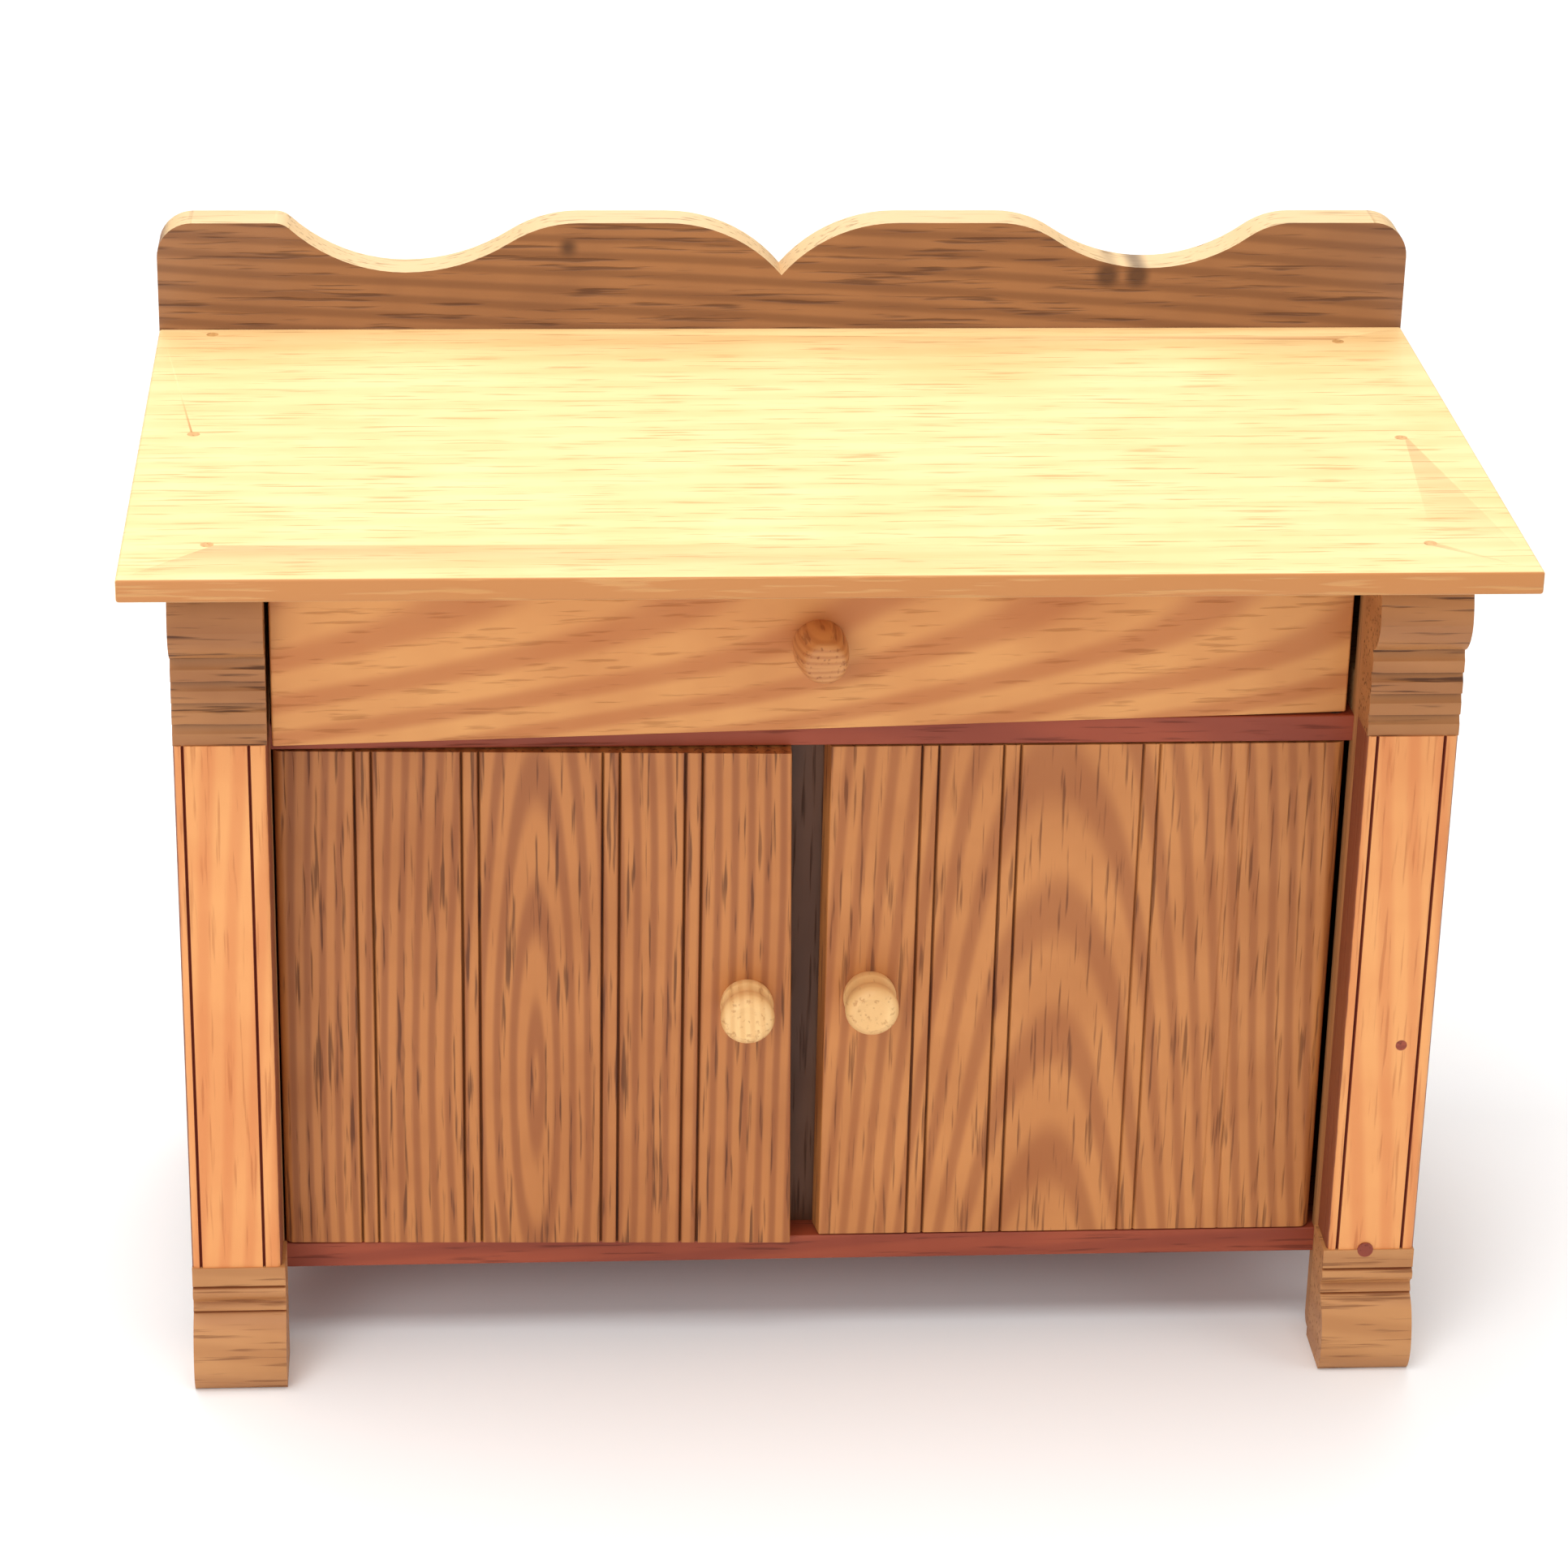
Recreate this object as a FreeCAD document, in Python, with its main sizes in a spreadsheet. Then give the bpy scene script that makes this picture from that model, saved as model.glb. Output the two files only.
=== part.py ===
import FreeCAD, Part

import math
import os

import Sketcher

# Small handmade wooden cabinet: a scalloped back board over an overhanging top, one drawer,
# two doors and two pilasters that stand on scroll feet.
# Frame: +X to the right seen from the front, +Y to the back, +Z up, millimetres.
# The origin is on the floor, at the middle of the overall width and depth.

SIZES = {
    # overall
    "top_width": 457.0,
    "top_depth": 246.6,
    "top_thick": 8.0,
    "top_ease": 1.0,
    "front_overhang": 43.8,
    # carcass
    "opening_width": 368.6,
    "floor_gap": 31.2,
    "shelf_thick": 9.5,
    "shelf_setback": 24.5,
    "shelf_ease": 0.6,
    "cupboard_height": 191.3,
    "drawer_space": 71.5,
    "post_width": 28.1,
    "front_post_depth": 11.0,
    "rear_post_depth": 20.0,
    "leg_round": 4.0,
    "panel_thick": 9.5,
    "back_thick": 6.0,
    "back_inset": 2.0,
    "mullion_width": 32.0,
    "mullion_thick": 9.5,
    "mullion_setback": 35.7,
    # pilasters
    "pilaster_width": 31.1,
    "pilaster_thick": 18.0,
    "pilaster_bead": 2.0,
    "score_width": 1.1,
    "score_depth": 1.0,
    "score_outer_left": 3.2,
    "score_inner_left": 6.0,
    "score_inner_right": 3.5,
    "score_outer_right": 4.6,
    "capital_height": 68.8,
    "reed_height": 7.67,
    "reed_recess": 0.6,
    "reed_depth": 1.5,
    "ovolo_height": 22.4,
    "ovolo_reach": 6.8,
    "abacus_height": 5.0,
    "abacus_reach": 25.0,
    "foot_height": 45.7,
    "foot_reach": 8.6,
    "foot_inset": 1.2,
    # back board
    "splash_thick": 15.7,
    "splash_rise": 40.0,
    "splash_drop": 18.0,
    "splash_corner": 13.0,
    "notch_offset": 2.0,
    "notch_drop": 19.8,
    "lobe_radius": 54.4,
    "left_dip_offset": 139.0,
    "left_dip_drop": 18.6,
    "left_dip_outer_run": 47.0,
    "left_dip_outer_round": 8.0,
    "left_dip_inner_run": 63.0,
    "left_dip_inner_round": 46.0,
    "right_dip_offset": 133.0,
    "right_dip_drop": 17.2,
    "right_dip_outer_run": 53.0,
    "right_dip_outer_round": 28.0,
    "right_dip_inner_run": 56.0,
    "right_dip_inner_round": 38.0,
    # doors
    "door_thick": 9.5,
    "door_clearance": 0.6,
    "left_hinge_gap": 0.6,
    "left_hinge_round": 3.0,
    "right_hinge_gap": 2.0,
    "right_hinge_round": 4.0,
    "left_meet_low": 5.0,
    "left_meet_high": 8.3,
    "right_meet": 3.6,
    "right_meet_bevel": 1.9,
    "door_ease": 0.7,
    "bead_width": 5.8,
    "quirk_width": 1.3,
    "quirk_depth": 1.1,
    "left_door_ajar": 1.86,
    "pivot_radius": 1.2,
    "pivot_head_radius": 2.4,
    "pivot_head_thick": 1.0,
    "pivot_depth": 12.0,
    "pivot_clearance": 0.08,
    # knobs
    "knob_height": 96.3,
    "left_knob_offset": 22.0,
    "right_knob_offset": 20.9,
    "knob_radius": 9.2,
    "knob_length": 16.0,
    "knob_tenon_radius": 3.5,
    "knob_tenon_length": 7.0,
    "drawer_knob_radius": 9.1,
    "drawer_knob_length": 18.9,
    "drawer_knob_height": 31.4,
    # drawer
    "drawer_front_thick": 9.5,
    "drawer_end_clearance": 1.0,
    "drawer_clearance": 0.5,
    "drawer_top_clearance": 0.7,
    "drawer_shift": 0.5,
    "drawer_setback": 15.3,
    "drawer_skew": 3.43,
    "box_side_clearance": 2.6,
    "box_height": 60.0,
    "box_wall": 6.35,
    "box_floor": 3.2,
    "box_floor_rise": 5.0,
    "box_groove": 3.0,
    "guide_height": 14.5,
    "stop_length": 36.0,
    "stop_depth": 9.0,
    "stop_height": 10.0,
    # nails and plugs
    "nail_head_radius": 2.2,
    "nail_head_thick": 1.2,
    "nail_shank_radius": 1.0,
    "long_nail": 30.0,
    "short_nail": 14.5,
    "panel_nail_radius": 1.6,
    "panel_nail_length": 14.0,
    "panel_nail_pitch": 96.0,
    "splash_nail_radius": 1.8,
    "splash_nail_length": 32.0,
    "splash_nail_pitch": 124.0,
    "plug_radius": 2.8,
    "small_plug_radius": 2.0,
    "plug_length": 6.0,
}

# Places of the six nails that hold the top: x and the distance behind the pilaster faces.
TOP_NAILS = [
    (-201.0, -13.5, "short_nail"),
    (-210.5, 90.5, "long_nail"),
    (-209.0, 196.5, "long_nail"),
    (202.0, 186.0, "long_nail"),
    (205.6, 82.7, "long_nail"),
    (196.0, -18.0, "short_nail"),
]

# Places of the door beads as shares of the door's width from its hinge edge, with the depth
# of their quirks as a share of quirk_depth: the beads of the right door are worn away.
LEFT_BEADS = [(0.169, 1.0), (0.372, 1.0), (0.640, 1.0), (0.797, 1.0)]
RIGHT_BEADS = [(0.203, 0.25), (0.374, 0.7), (0.642, 1.0), (0.799, 1.0)]


class Size:
    """A length that carries both its number and its spreadsheet formula."""

    def __init__(self, value, formula):
        self.value = value
        self.formula = formula

    @staticmethod
    def of(other):
        return other if isinstance(other, Size) else Size(float(other), repr(float(other)))

    def __add__(self, other):
        other = Size.of(other)
        return Size(self.value + other.value, "(%s + %s)" % (self.formula, other.formula))

    def __radd__(self, other):
        return Size.of(other) + self

    def __sub__(self, other):
        other = Size.of(other)
        return Size(self.value - other.value, "(%s - %s)" % (self.formula, other.formula))

    def __rsub__(self, other):
        return Size.of(other) - self

    def __mul__(self, other):
        other = Size.of(other)
        return Size(self.value * other.value, "(%s * %s)" % (self.formula, other.formula))

    __rmul__ = __mul__

    def __truediv__(self, other):
        other = Size.of(other)
        return Size(self.value / other.value, "(%s / %s)" % (self.formula, other.formula))

    def __neg__(self):
        return Size(-self.value, "(0 - %s)" % self.formula)


doc = FreeCAD.newDocument("cabinet")
sheet = doc.addObject("Spreadsheet::Sheet", "Sizes")
size = {}
for row, (name, value) in enumerate(SIZES.items(), start=1):
    sheet.set("A%d" % row, name)
    sheet.set("B%d" % row, repr(value))
    sheet.setAlias("B%d" % row, name)
    size[name] = Size(value, "Sizes." + name)
doc.recompute()

nodes = {}


def keep(label, piece):
    """Names a finished sub-part, which becomes a node of its own."""
    piece.Label = label
    nodes[label] = piece
    return piece


def bind(piece, prop, length):
    piece.setExpression(prop, Size.of(length).formula)


def block(name, low, high):
    """A rectangular block between two corners, bound to the sheet."""
    box = doc.addObject("Part::Box", name)
    for prop, a, b in zip(("Length", "Width", "Height"), low, high):
        bind(box, prop, Size.of(b) - a)
    for axis, a in zip("xyz", low):
        bind(box, "Placement.Base." + axis, a)
    doc.recompute()
    return box


def rod(name, centre, radius, length):
    """An upright cylinder that stands on centre."""
    cylinder = doc.addObject("Part::Cylinder", name)
    bind(cylinder, "Radius", radius)
    bind(cylinder, "Height", length)
    for axis, a in zip("xyz", centre):
        bind(cylinder, "Placement.Base." + axis, a)
    doc.recompute()
    return cylinder


def level_rod(name, start, radius, length):
    """A cylinder that runs back along +Y from start."""
    cylinder = doc.addObject("Part::Cylinder", name)
    backwards = FreeCAD.Rotation(FreeCAD.Vector(1, 0, 0), -90)
    cylinder.Placement = FreeCAD.Placement(FreeCAD.Vector(0, 0, 0), backwards)
    bind(cylinder, "Radius", radius)
    bind(cylinder, "Height", length)
    for axis, a in zip("xyz", start):
        bind(cylinder, "Placement.Base." + axis, a)
    doc.recompute()
    return cylinder


def joined(name, pieces):
    fuse = doc.addObject("Part::MultiFuse", name)
    fuse.Shapes = pieces
    doc.recompute()
    return fuse


def grouped(name, pieces):
    group = doc.addObject("Part::Compound", name)
    group.Links = pieces
    doc.recompute()
    return group


def cut(name, base, tool):
    """The base less the tool, which has to reach into it."""
    result = doc.addObject("Part::Cut", name)
    result.Base = base
    result.Tool = tool
    doc.recompute()
    if result.Shape.Volume > base.Shape.Volume - 1e-6:
        raise RuntimeError(name + " removes nothing")
    return result


def eased(name, base, radius, wanted=None):
    """Rounds the edges that the test picks, or all of them."""
    picked = []
    for index, edge in enumerate(base.Shape.Edges, start=1):
        if wanted is None or wanted(edge):
            picked.append((index, radius.value, radius.value))
    fillet = doc.addObject("Part::Fillet", name)
    fillet.Base = base
    fillet.Edges = picked
    doc.recompute()
    return fillet


def turn(piece, pivot, degrees):
    """Turns a finished sub-part about an upright line."""
    rotation = FreeCAD.Rotation(FreeCAD.Vector(0, 0, 1), degrees)
    swing = FreeCAD.Placement(FreeCAD.Vector(0, 0, 0), rotation, FreeCAD.Vector(*pivot))
    piece.Placement = swing.multiply(piece.Placement)


def arc_between(start, end, radius):
    """Arc from start to end; a positive radius bends it to the left, so its centre is on the left."""
    dx = end[0] - start[0]
    dy = end[1] - start[1]
    chord = math.hypot(dx, dy)
    rise = math.sqrt(max(radius * radius - chord * chord / 4.0, 0.0))
    side = 1.0 if radius > 0 else -1.0
    cx = (start[0] + end[0]) / 2.0 - side * rise * dy / chord
    cy = (start[1] + end[1]) / 2.0 + side * rise * dx / chord
    first, last = (start, end) if radius > 0 else (end, start)
    a = math.atan2(first[1] - cy, first[0] - cx)
    b = math.atan2(last[1] - cy, last[0] - cx)
    circle = Part.Circle(FreeCAD.Vector(cx, cy, 0), FreeCAD.Vector(0, 0, 1), abs(radius))
    return Part.ArcOfCircle(circle, a, b if b > a else b + 2 * math.pi)


def outline(sketch, corners):
    """A closed outline. A corner is (x, y), or (x, y, radius) where an arc arrives at it."""
    ends = []
    for number, corner in enumerate(corners):
        before = corners[number - 1]
        start = (Size.of(before[0]).value, Size.of(before[1]).value)
        end = (Size.of(corner[0]).value, Size.of(corner[1]).value)
        if len(corner) == 3:
            radius = Size.of(corner[2])
            edge = sketch.addGeometry(arc_between(start, end, radius.value), False)
            limit = sketch.addConstraint(Sketcher.Constraint("Radius", edge, abs(radius.value)))
            sketch.setExpression("Constraints[%d]" % limit, "abs(%s)" % radius.formula)
            ends.append((edge, 2, 1) if radius.value > 0 else (edge, 1, 2))
        else:
            line = Part.LineSegment(FreeCAD.Vector(*start, 0), FreeCAD.Vector(*end, 0))
            ends.append((sketch.addGeometry(line, False), 2, 1))
    for number, corner in enumerate(corners):
        edge, arriving, leaving = ends[number]
        following = ends[(number + 1) % len(corners)]
        sketch.addConstraint(
            Sketcher.Constraint("Coincident", edge, arriving, following[0], following[2]))
        for kind, axis, coordinate in (("DistanceX", -2, corner[0]), ("DistanceY", -1, corner[1])):
            coordinate = Size.of(coordinate)
            if abs(coordinate.value) < 1e-9:
                sketch.addConstraint(Sketcher.Constraint("PointOnObject", edge, arriving, axis))
            else:
                place = sketch.addConstraint(
                    Sketcher.Constraint(kind, edge, arriving, coordinate.value))
                sketch.setExpression("Constraints[%d]" % place, coordinate.formula)


def new_sketch(body, name, role, offset):
    """A sketch on one of the body's own planes, moved along that plane's normal."""
    plane = [f for f in body.Origin.OriginFeatures if f.Role == role][0]
    sketch = body.newObject("Sketcher::SketchObject", name)
    sketch.AttachmentSupport = [(plane, "")]
    sketch.MapMode = "FlatFace"
    bind(sketch, "AttachmentOffset.Base.z", offset)
    return sketch


def padded(name, role, offset, corners, length):
    """A body that is one outline, padded away from its plane."""
    body = doc.addObject("PartDesign::Body", name)
    sketch = new_sketch(body, name + "_outline", role, offset)
    outline(sketch, corners)
    pad = body.newObject("PartDesign::Pad", name + "_pad")
    pad.Profile = sketch
    bind(pad, "Length", length)
    doc.recompute()
    return body


def lathe_turned(name, corners):
    """A body turned about the Y axis from a half outline of (radius, y) corners."""
    body = doc.addObject("PartDesign::Body", name)
    sketch = new_sketch(body, name + "_profile", "XY_Plane", 0.0)
    outline(sketch, corners)
    spin = body.newObject("PartDesign::Revolution", name + "_turning")
    spin.Profile = sketch
    spin.ReferenceAxis = (sketch, ["V_Axis"])
    spin.Angle = 360.0
    doc.recompute()
    return body


# Levels and planes that the pieces share.
overall_depth = size["top_depth"] + size["splash_thick"]
front_edge = -overall_depth / 2.0
rear_face = front_edge + size["top_depth"]
pilaster_face = front_edge + size["front_overhang"]
post_face = pilaster_face + size["pilaster_thick"]
post_back = post_face + size["front_post_depth"]
rear_post_face = rear_face - size["rear_post_depth"]
back_panel_face = rear_face - size["back_inset"] - size["back_thick"]
shelf_face = pilaster_face + size["shelf_setback"]
half_opening = size["opening_width"] / 2.0
side_outer = half_opening + size["post_width"]
side_inner = side_outer - size["panel_thick"]
pilaster_outer = half_opening + size["pilaster_width"]
shelf_top = size["floor_gap"] + size["shelf_thick"]
divider_low = shelf_top + size["cupboard_height"]
divider_top = divider_low + size["shelf_thick"]
top_low = divider_top + size["drawer_space"]
top_high = top_low + size["top_thick"]
capital_low = top_low - size["capital_height"]


def both(side, low, high):
    """The ends of a stretch on the right, or of its mirror image on the left."""
    return (low, high) if side > 0 else (-high, -low)


def make_nails():
    nails = []
    for number, (x, behind, length) in enumerate(TOP_NAILS):
        y = pilaster_face + behind
        head = rod("nail_head_%d" % number, (x, y, top_high - size["nail_head_thick"]),
                   size["nail_head_radius"], size["nail_head_thick"])
        shank = rod("nail_shank_%d" % number, (x, y, top_high - size[length]),
                    size["nail_shank_radius"], size[length])
        nails.append(joined("nail_%d" % number, [head, shank]))
    return keep("top_nails", grouped("top_nail_set", nails))


def make_pivots(name, x, y):
    """The two headed nails that a door turns on, one down through the divider, one up."""
    low = rod(name + "_low_shank", (x, y, size["floor_gap"]), size["pivot_radius"],
              size["shelf_thick"] + size["door_clearance"] + size["pivot_depth"])
    low_head = rod(name + "_low_head", (x, y, size["floor_gap"]), size["pivot_head_radius"],
                   size["pivot_head_thick"])
    reach = size["shelf_thick"] + size["door_clearance"] + size["pivot_depth"]
    high = rod(name + "_high_shank", (x, y, divider_top - reach), size["pivot_radius"], reach)
    high_head = rod(name + "_high_head", (x, y, divider_top - size["pivot_head_thick"]),
                    size["pivot_head_radius"], size["pivot_head_thick"])
    pins = [joined(name + "_low", [low, low_head]), joined(name + "_high", [high, high_head])]
    return keep(name, grouped(name + "_set", pins))


def hinge_axis(side, hand):
    """Where a door's upright axis stands: the middle of its rounded hinge edge."""
    inset = size[hand + "_hinge_gap"] + size[hand + "_hinge_round"]
    return side * (half_opening - inset), shelf_face + size[hand + "_hinge_round"]


def make_shelf(label, low):
    """A shelf that reaches the side panels between the four posts."""
    back = back_panel_face
    corners = [
        (-half_opening, shelf_face), (half_opening, shelf_face),
        (half_opening, post_back), (side_inner, post_back),
        (side_inner, rear_post_face), (half_opening, rear_post_face),
        (half_opening, back), (-half_opening, back),
        (-half_opening, rear_post_face), (-side_inner, rear_post_face),
        (-side_inner, post_back), (-half_opening, post_back),
    ]
    board = padded(label + "_board", "XY_Plane", low, corners, size["shelf_thick"])

    def along_front(edge):
        box = edge.BoundBox
        return box.YMax < shelf_face.value + 0.01 and box.XLength > 1.0

    soft = eased(label + "_eased", board, size["shelf_ease"], along_front)
    for tool in ("door_pivots_left", "door_pivots_right", "back_panel_nails"):
        soft = cut(label + "_for_" + tool, soft, nodes[tool])
    return keep(label, soft)


def splash_corners():
    """The scalloped outline: two lobes meet in a notch, each with a dip beyond it."""
    half = size["top_width"] / 2.0
    top = top_high + size["splash_rise"]
    low = top_low - size["splash_drop"]
    corner = size["splash_corner"]

    def dip(side, place, name, run, rounding):
        """Where a dip's hollow and its rounded shoulder meet, and the hollow's radius."""
        reach = size[name + run].value
        drop = size[name + "_drop"].value
        half_turn = math.atan2(drop, reach)
        total = reach / math.sin(2.0 * half_turn)
        hollow = total - size[name + rounding].value
        share = hollow / total
        return share, hollow

    notch = -size["notch_offset"]
    drop = size["notch_drop"]
    radius = size["lobe_radius"]
    lobe = math.sqrt(radius.value ** 2 - (radius.value - drop.value) ** 2)
    corners = [(-half, low), (half, low), (half, top - corner), (half - corner, top, corner)]
    for side, name in ((1.0, "right_dip"), (-1.0, "left_dip")):
        middle = side * size[name + "_offset"]
        bottom = top - size[name + "_drop"]
        ends = {}
        for run in ("_outer", "_inner"):
            share, hollow = dip(side, middle, name, run + "_run", run + "_round")
            out = side if run == "_outer" else -side
            shoulder = middle + out * size[name + run + "_run"]
            meet_x = middle + out * size[name + run + "_run"] * share
            meet_z = bottom + size[name + "_drop"] * share
            ends[run] = (shoulder, meet_x, meet_z, hollow, size[name + run + "_round"])
        order = ("_outer", "_inner") if side > 0 else ("_inner", "_outer")
        first = ends[order[0]]
        second = ends[order[1]]
        if side < 0:
            corners.append((notch - lobe, top, radius))
        corners.append((first[0], top))
        corners.append((first[1], first[2], first[4]))
        corners.append((middle, bottom, -first[3]))
        corners.append((second[1], second[2], -second[3]))
        corners.append((second[0], top, second[4]))
        if side > 0:
            corners.append((notch + lobe, top))
            corners.append((notch, top - drop, radius))
    corners.append((corner - half, top))
    corners.append((-half, top - corner, corner))
    return corners


def make_backsplash():
    board = padded("backsplash_board", "XZ_Plane", -(rear_face + size["splash_thick"]),
                   splash_corners(), size["splash_thick"])
    return keep("backsplash", cut("backsplash_nailed", board, nodes["backsplash_nails"]))


def make_top():
    half = size["top_width"] / 2.0
    board = block("top_blank", (-half, front_edge, top_low), (half, rear_face, top_high))
    soft = eased("top_eased", board, size["top_ease"])
    for tool in ("top_nails", "backsplash_nails"):
        soft = cut("top_for_" + tool, soft, nodes[tool])
    return keep("top_board", soft)


def make_sides(side, hand):
    inner, outer = both(side, half_opening, side_outer)
    post = block(hand + "_front_post_blank", (inner, post_face, 0.0), (outer, post_back, top_low))

    def at_foot(edge):
        box = edge.BoundBox
        return box.ZMax < 0.01 and box.YMin > post_back.value - 0.01

    keep("front_post_" + hand, eased("front_post_eased_" + hand, post, size["leg_round"], at_foot))
    rear = block(hand + "_rear_post_blank", (inner, rear_post_face, 0.0), (outer, rear_face, top_low))
    keep("rear_post_" + hand, cut("rear_post_nailed_" + hand, rear, nodes["top_nails"]))
    low, high = both(side, side_inner, side_outer)
    panel = block(hand + "_panel_blank", (low, post_back, size["floor_gap"]),
                  (high, rear_post_face, top_low))
    keep("side_panel_" + hand, cut("side_panel_nailed_" + hand, panel, nodes["top_nails"]))
    low, high = both(side, half_opening, side_inner)
    keep("drawer_guide_" + hand,
         block(hand + "_guide", (low, post_back, divider_top),
               (high, rear_post_face, divider_top + size["guide_height"])))


def make_pilaster(side, hand):
    """A flat strip with rounded edges and two scored lines down its face."""
    low, high = both(side, half_opening, pilaster_outer)
    inner = size["score_inner_" + hand]
    outer = size["score_outer_" + hand]
    first, second = (inner, outer) if side > 0 else (outer, inner)
    bead = size["pilaster_bead"]
    half = size["score_width"] / 2.0
    face = pilaster_face
    back = post_face
    corners = [(low, back), (low, face + bead), (low + bead, face, bead)]
    for middle in (low + first, high - second):
        corners.append((middle - half, face))
        corners.append((middle, face + size["score_depth"]))
        corners.append((middle + half, face))
    corners.append((high - bead, face))
    corners.append((high, face + bead, bead))
    corners.append((high, back))
    strip = padded("pilaster_body_" + hand, "XY_Plane", size["foot_height"], corners,
                   capital_low - size["foot_height"])
    if side > 0:
        strip = cut("pilaster_plugged_" + hand, strip, nodes["pilaster_plugs"])
    keep("pilaster_" + hand, strip)


def capital_corners():
    """Side outline of a capital: four reeds, an ovolo, a neck and a cove under the top."""
    face = pilaster_face
    lip = face + size["reed_recess"]
    quirk = lip + size["reed_depth"]
    reed = size["reed_height"]
    corners = [(post_face, top_low), (post_face, capital_low), (lip, capital_low)]
    for number in range(4):
        low = capital_low + number * reed
        corners.append((lip, low + reed * 0.55))
        corners.append((quirk, low + reed, reed * 0.9))
        if number < 3:
            corners.append((lip, low + reed))
    ovolo_low = capital_low + 4 * reed
    ovolo_high = ovolo_low + size["ovolo_height"]
    front = face - size["ovolo_reach"]
    corners.append((front, ovolo_low + size["ovolo_height"] * 0.55, -size["ovolo_height"] * 0.65))
    corners.append((front + size["ovolo_reach"] * 0.35, ovolo_high, -size["ovolo_height"] * 1.15))
    abacus_low = top_low - size["abacus_height"]
    corners.append((face - size["abacus_reach"], abacus_low,
                    size["abacus_reach"] * 0.72))
    corners.append((face - size["abacus_reach"], top_low))
    return corners


def foot_corners():
    """Side outline of a foot: a flat band, two reeds and a scroll that swells to the front."""
    face = pilaster_face
    top = size["foot_height"]
    proud = face - 0.6
    corners = [
        (post_face, top),
        (proud, top),
        (proud, top - 7.2),
        (proud + 1.5, top - 7.8),
        (proud, top - 8.5),
        (proud, top - 12.2, 2.6),
        (proud + 1.9, top - 14.4, -3.4),
        (proud + 0.5, top - 16.2),
        (proud + 0.3, top - 17.2),
        (proud + 1.3, top - 17.9),
        (face - size["foot_reach"] * 0.75, top - 25.5, 14.0),
        (face - size["foot_reach"], top - 34.0, 26.0),
        (face - size["foot_reach"] * 0.6, 0.0, 15.0),
        (post_face, 0.0),
    ]
    return corners


def make_capital(side, hand):
    low, high = both(side, half_opening, pilaster_outer)
    corners = [(corner[0], corner[1]) + tuple(corner[2:]) for corner in capital_corners()]
    moulding = padded("capital_body_" + hand, "YZ_Plane", low, corners, high - low)
    keep("capital_" + hand, cut("capital_nailed_" + hand, moulding, nodes["top_nails"]))


def make_foot(side, hand):
    low, high = both(side, half_opening - size["foot_inset"], pilaster_outer)
    block_body = padded("foot_body_" + hand, "YZ_Plane", low, foot_corners(), high - low)
    if side > 0:
        block_body = cut("foot_plugged_" + hand, block_body, nodes["pilaster_plugs"])
    keep("foot_block_" + hand, block_body)


def make_plugs():
    """Round wooden plugs let into the right pilaster and across its joint with the foot."""
    plugs = []
    places = [
        (half_opening + 20.4, 127.0, size["small_plug_radius"], pilaster_face),
        (half_opening + 13.6, size["foot_height"], size["plug_radius"], pilaster_face - 0.6),
    ]
    for number, (x, z, radius, face) in enumerate(places):
        plugs.append(level_rod("plug_%d" % number, (x, face, z), radius, size["plug_length"]))
    return keep("pilaster_plugs", grouped("plug_set", plugs))


def bead_corners(beads, start, width, side, face):
    """Corners of the two quirks beside each bead, from the hinge edge on."""
    corners = []
    for share, wear in beads:
        middle = start - side * width * share
        for step in (-0.5, 0.5):
            centre = middle - side * step * size["bead_width"]
            half = size["quirk_width"] / 2.0
            depth = size["quirk_depth"] * wear
            corners.append((centre + side * half, face))
            corners.append((centre, face + depth))
            corners.append((centre - side * half, face))
    return corners


def taper_free_edge(body, name, back, low, height):
    """Planes the left door's free edge, so that the door is narrower at its top."""
    sliver = new_sketch(body, name + "_taper_outline", "XZ_Plane", -(back + 1.0))
    over = 1.0
    bottom = -size["left_meet_low"]
    slope = (size["left_meet_low"] - size["left_meet_high"]) / height
    outline(sliver, [
        (bottom - slope * over, low - over),
        (bottom + slope * (height + over), low + height + over),
        (bottom + 3.0, low + height + over),
        (bottom + 3.0, low - over),
    ])
    taper = body.newObject("PartDesign::Pocket", name + "_taper")
    taper.Profile = sliver
    taper.Reversed = True
    bind(taper, "Length", size["door_thick"] + 2.0)
    doc.recompute()


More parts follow.
